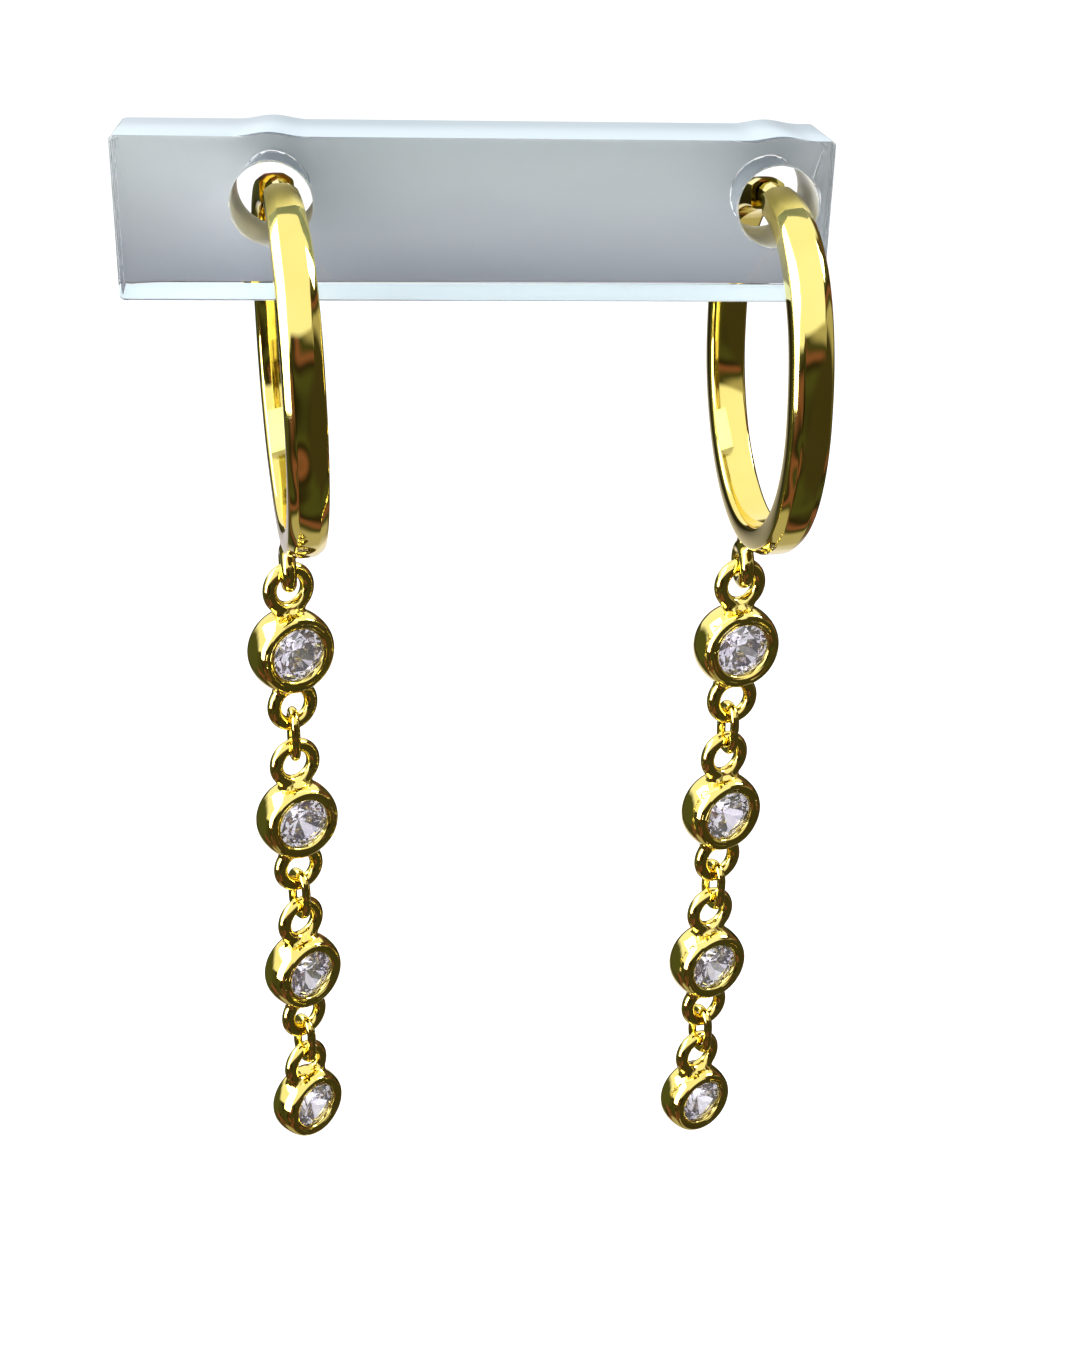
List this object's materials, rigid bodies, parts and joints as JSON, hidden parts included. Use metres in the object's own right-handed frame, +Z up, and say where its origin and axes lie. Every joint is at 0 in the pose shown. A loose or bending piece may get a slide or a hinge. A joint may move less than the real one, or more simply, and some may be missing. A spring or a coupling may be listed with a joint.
{
  "type": "drop huggie earrings on clear display bar",
  "caption": "Pair of drop huggie earrings, each an oval hoop with a chain of round bezel-set stones on jump rings, hung through the holes of a plain clear display bar.",
  "frame": {"origin": "middle of the display bar's underside, midway between the two earrings, where a stand holds the bar", "axes": "+X along the bar towards its right end, -Y the front that the bezels face, +Z up"},
  "size_m": [0.0256, 0.0138, 0.0448],
  "materials": {
    "polished_gold": "high polish",
    "colourless_stone": "faceted, polished",
    "clear_acrylic": "clear, slightly hazy"
  },
  "bodies": {
    "root": {"display_bar": "clear_acrylic", "left_hoop": "polished_gold", "left_post": "polished_gold", "left_bezel_1": "polished_gold", "left_bezel_2": "polished_gold", "left_bezel_3": "polished_gold", "left_bezel_4": "polished_gold", "left_stone_1": "colourless_stone", "left_stone_2": "colourless_stone", "left_stone_3": "colourless_stone", "left_stone_4": "colourless_stone", "left_link_1": "polished_gold", "left_link_2": "polished_gold", "left_link_3": "polished_gold", "right_hoop": "polished_gold", "right_post": "polished_gold", "right_bezel_1": "polished_gold", "right_bezel_2": "polished_gold", "right_bezel_3": "polished_gold", "right_bezel_4": "polished_gold", "right_stone_1": "colourless_stone", "right_stone_2": "colourless_stone", "right_stone_3": "colourless_stone", "right_stone_4": "colourless_stone", "right_link_1": "polished_gold", "right_link_2": "polished_gold", "right_link_3": "polished_gold"}
  },
  "joints": []
}
